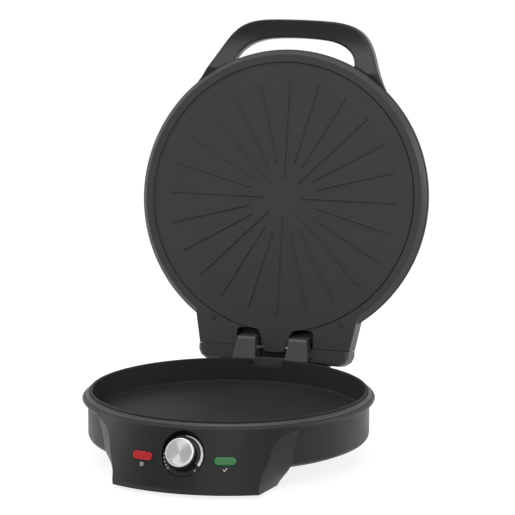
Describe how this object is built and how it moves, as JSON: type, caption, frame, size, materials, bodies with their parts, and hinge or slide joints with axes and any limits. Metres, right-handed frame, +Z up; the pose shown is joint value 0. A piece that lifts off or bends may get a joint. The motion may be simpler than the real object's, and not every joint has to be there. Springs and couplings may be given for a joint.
{
  "type": "electric pizza maker",
  "caption": "Round countertop cooker with a flat baking pan, a hinged ribbed lid with a loop handle, and a turning thermostat knob between two lights.",
  "frame": {"origin": "on the counter, under the middle of the open cooker's bounding box", "axes": "+Z up, -Y to the front with the control panel, +X to the right as the user sees it"},
  "size_m": [0.3392, 0.4942, 0.4506],
  "materials": {
    "black_casing": "fine-textured black moulding",
    "black_lid": "satin black moulding",
    "black_handle": "semi-gloss black moulding",
    "rim_black": "heat-resistant black moulding",
    "coated_pan": "dark non-stick coating",
    "coated_plate": "dark grey non-stick coating",
    "hinge_grey": "dark grey coated casting",
    "steel_pin": "ground steel",
    "bush": "sintered bushes",
    "screw": "zinc-plated screws",
    "dark_screw": "blackened screws",
    "element": "sheathed element",
    "sheet": "pressed sheet",
    "fuse": "plain can",
    "knob_black": "black knob",
    "knob_silver": "turned cap",
    "dial": "printed dial",
    "red_lens": "red indicator lens",
    "green_lens": "green indicator lens",
    "lamp": "lamp holders",
    "thermostat_body": "ceramic-filled body",
    "terminal": "terminal block",
    "gland": "black gland",
    "foot": "black rubber",
    "sleeve": "glass-fibre sleeve"
  },
  "bodies": {
    "base": {"base_casing": "black_casing", "control_pod_cover": "black_casing", "rear_pod_cover": "black_casing", "bottom_cover": "black_casing", "rim_ring": "rim_black", "baking_pan": "coated_pan", "hinge_bracket": "hinge_grey", "hinge_pins": "steel_pin", "bracket_screws": "screw", "casing_screws": "screw", "lower_plate_screws": "screw", "lower_heating_element": "element", "lower_heat_shield": "sheet", "lower_element_clips": "sheet", "lower_thermal_fuse": "fuse", "dial_plate": "dial", "power_lens": "red_lens", "ready_lens": "green_lens", "indicator_lamps": "lamp", "thermostat": "thermostat_body", "terminal_block": "terminal", "cable_gland": "gland", "rubber_feet": "foot", "base_wire_sleeve": "sleeve", "supply_wire_sleeve": "sleeve"},
    "knob": {"knob_body": "knob_black", "knob_cap": "knob_silver", "thermostat_shaft": "steel_pin"},
    "lid": {"lid_frame": "black_lid", "lid_shell": "black_lid", "hinge_cover": "black_lid", "hinge_blocks": "black_lid", "hinge_bushes": "bush", "hinge_screws": "dark_screw", "handle_roots": "black_lid", "handle_front": "black_handle", "handle_back": "black_handle", "grill_plate": "coated_plate", "upper_heating_element": "element", "upper_element_clips": "sheet", "upper_heat_shield": "sheet", "upper_thermal_fuse": "fuse", "upper_plate_screws": "screw", "lid_wire_sleeve": "sleeve"}
  },
  "joints": [
    {"name": "lid_hinge", "type": "hinge", "parent": "base", "child": "lid", "pos_m": [0, 0.1233, 0.0798], "axis": [1, 0, 0], "range_deg": [0, 101.4]},
    {"name": "knob_turn", "type": "hinge", "parent": "base", "child": "knob", "pos_m": [0, -0.22544, 0.0453], "axis": [0, 0.8988, -0.4384], "range_deg": [0, 270]}
  ]
}
